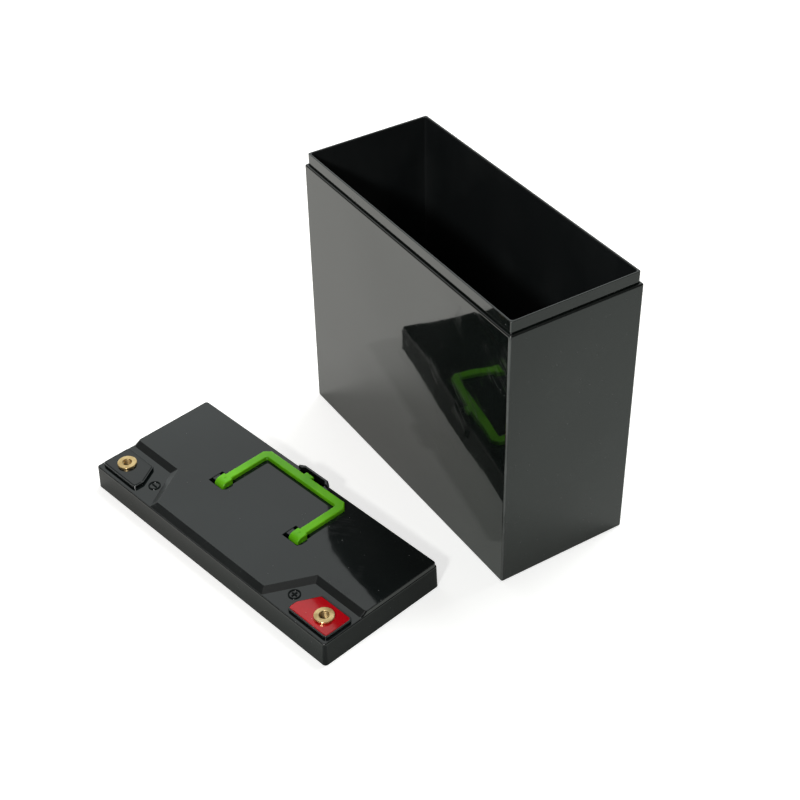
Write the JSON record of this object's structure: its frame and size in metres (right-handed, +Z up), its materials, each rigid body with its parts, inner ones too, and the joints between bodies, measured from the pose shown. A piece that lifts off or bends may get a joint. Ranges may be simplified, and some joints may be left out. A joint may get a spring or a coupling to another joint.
{
  "type": "battery case",
  "caption": "Tall rectangular battery tub with a stepped rim, and its lid lying beside it with threaded terminals, corner recesses and a folding carry handle.",
  "frame": {"origin": "middle of the tub's underside, on the floor", "axes": "+X along the tub's long side to the right, +Y away from its front long face, +Z up"},
  "size_m": [0.1922, 0.2127, 0.1565],
  "materials": {
    "black_abs": "high gloss moulded, fine dust and hairline scratches",
    "black_plate": "gloss moulded",
    "red_plastic": "gloss moulded",
    "green_plastic": "semi-gloss moulded",
    "brass": "machined, bright",
    "nut_brass": "machined"
  },
  "bodies": {
    "tub": {"case_body": "black_abs"},
    "lid": {"lid_cover": "black_abs", "positive_terminal": "brass", "negative_terminal": "brass", "positive_plate": "red_plastic", "negative_plate": "black_plate", "positive_terminal_nut": "nut_brass", "negative_terminal_nut": "nut_brass"},
    "handle": {"carry_handle": "green_plastic"}
  },
  "joints": [
    {"name": "lid_lift", "type": "slide", "parent": "tub", "child": "lid", "axis": [0, 0, 1], "range_m": [0, 0.2]},
    {"name": "handle_fold", "type": "hinge", "parent": "lid", "child": "handle", "pos_m": [-0.00653, -0.11905, 0.014], "axis": [0.9793, 0.2024, 0], "range_deg": [0, 90]}
  ]
}
